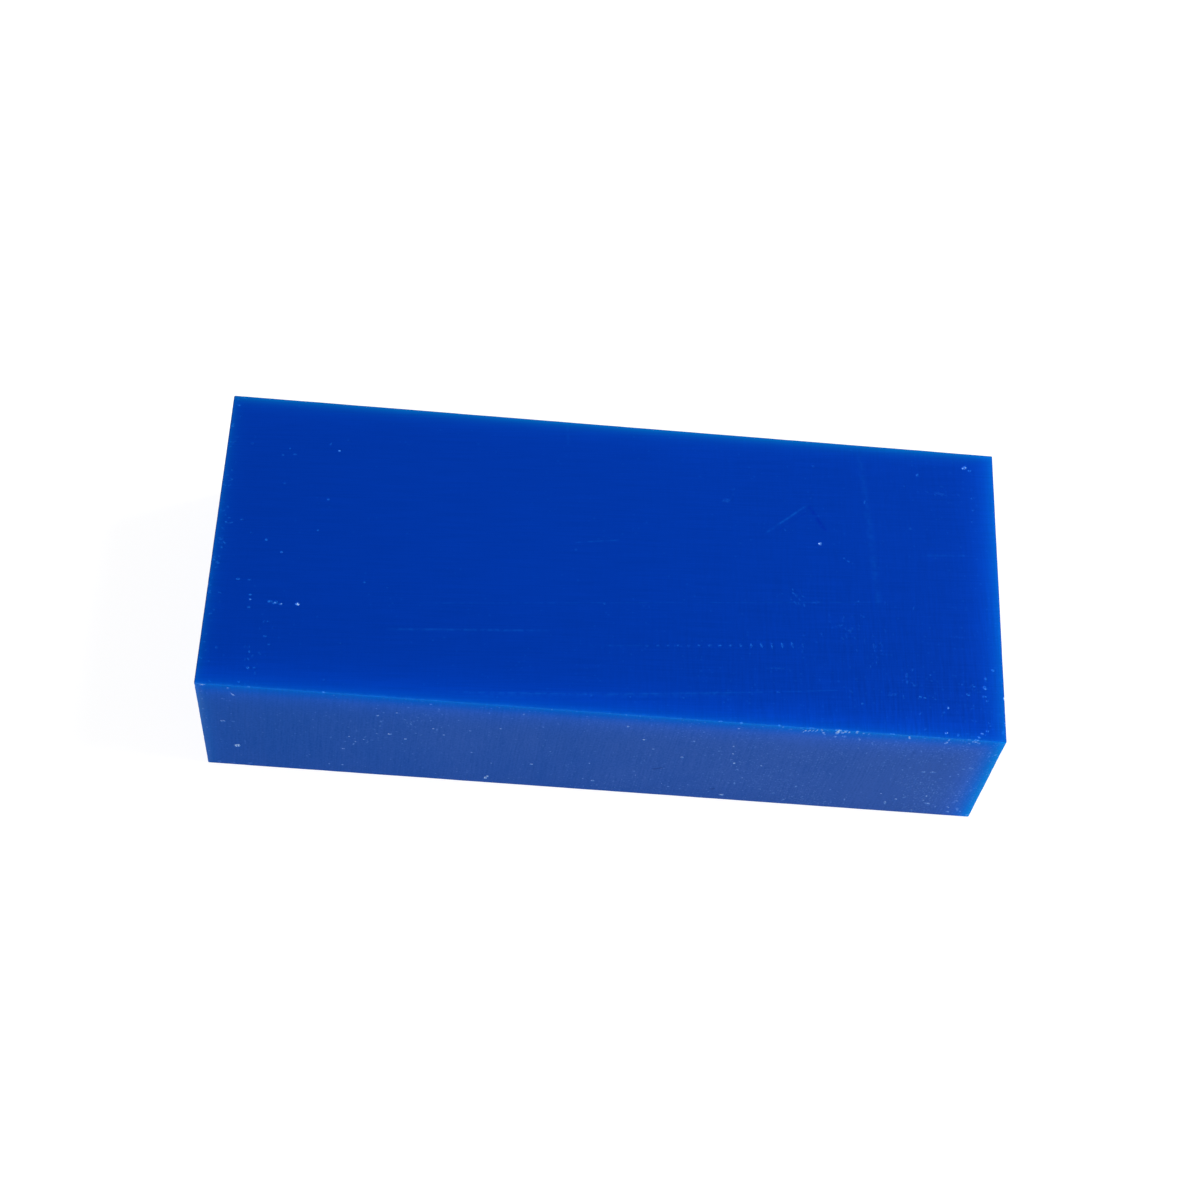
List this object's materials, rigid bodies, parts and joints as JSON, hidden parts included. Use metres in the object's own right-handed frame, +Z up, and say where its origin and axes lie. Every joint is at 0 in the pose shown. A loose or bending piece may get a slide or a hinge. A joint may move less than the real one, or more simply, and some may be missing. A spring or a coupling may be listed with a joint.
{
  "type": "machinable wax block",
  "caption": "Flat rectangular block of hard blue wax for practising and proving machining, with sawn sides and lightly bruised edges.",
  "frame": {"origin": "middle of the base, on the surface that the block lies on", "axes": "+X along the length towards the right end, +Y across the width towards the back side, +Z up through the thickness to the work face"},
  "size_m": [0.1778, 0.0762, 0.0381],
  "materials": {
    "blue_wax": "satin, slightly translucent hard wax, planed on top and sawn on the sides"
  },
  "bodies": {
    "root": {"wax_block": "blue_wax"}
  },
  "joints": []
}
